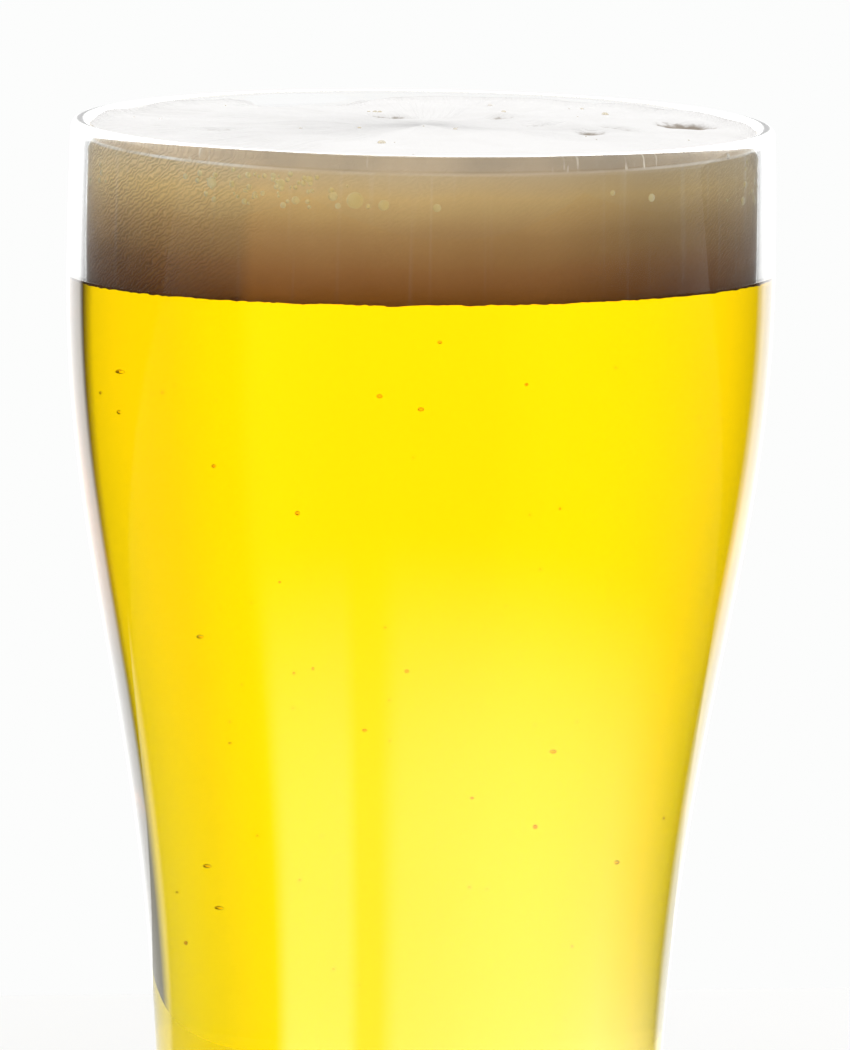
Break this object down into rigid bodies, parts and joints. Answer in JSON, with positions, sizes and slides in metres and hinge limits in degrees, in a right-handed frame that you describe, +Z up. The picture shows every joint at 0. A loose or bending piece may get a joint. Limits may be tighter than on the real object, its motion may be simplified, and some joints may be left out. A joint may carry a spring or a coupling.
{
  "type": "pint of beer",
  "caption": "Clear tulip-shaped pint glass filled with golden lager up to a thick, slightly uneven cream-coloured foam head.",
  "frame": {"origin": "centre of the resting ring under the glass's foot, on the surface that it stands on", "axes": "+Z up along the glass's axis, -Y towards the viewer of the picture, +X to the viewer's right"},
  "size_m": [0.0884, 0.0884, 0.152],
  "materials": {
    "glass": "clear polished soda-lime glass",
    "beer": "clear golden lager",
    "foam": "fine cream-coloured beer foam"
  },
  "bodies": {
    "root": {"glass": "glass", "beer": "beer", "foam": "foam"}
  },
  "joints": []
}
